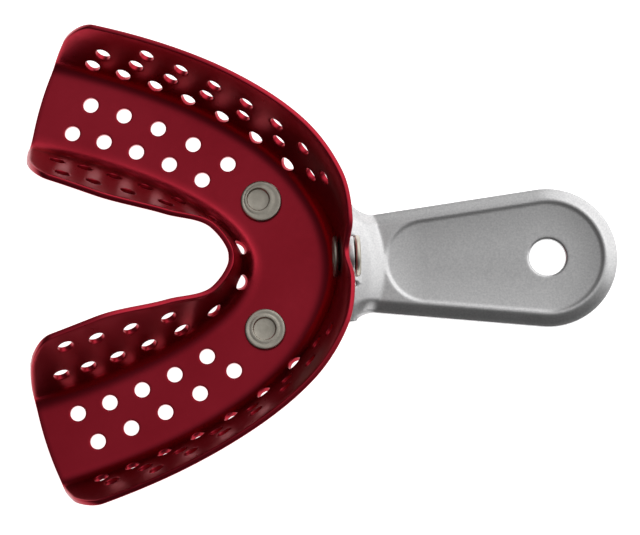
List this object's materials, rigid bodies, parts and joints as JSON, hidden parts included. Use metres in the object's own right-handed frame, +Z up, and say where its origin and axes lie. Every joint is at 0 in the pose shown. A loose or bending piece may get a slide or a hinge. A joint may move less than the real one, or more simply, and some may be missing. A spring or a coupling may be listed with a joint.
{
  "type": "dental impression tray",
  "caption": "Perforated red lower impression tray, a pressed horseshoe channel with a flat riveted handle ending in a hanging hole.",
  "frame": {"origin": "bottom centre of the whole object, on the surface it lies on", "axes": "+X towards the handle's hanging hole, +Y to the wearer's side seen left with the handle to the right, +Z up out of the open channel"},
  "size_m": [0.1, 0.0814, 0.0204],
  "materials": {
    "red_anodised": "polished red anodised",
    "satin_aluminium": "satin",
    "rivet_aluminium": "satin"
  },
  "bodies": {
    "root": {"tray_body": "red_anodised", "handle": "satin_aluminium", "rivet_left": "rivet_aluminium", "rivet_right": "rivet_aluminium", "rivet_front": "rivet_aluminium"}
  },
  "joints": []
}
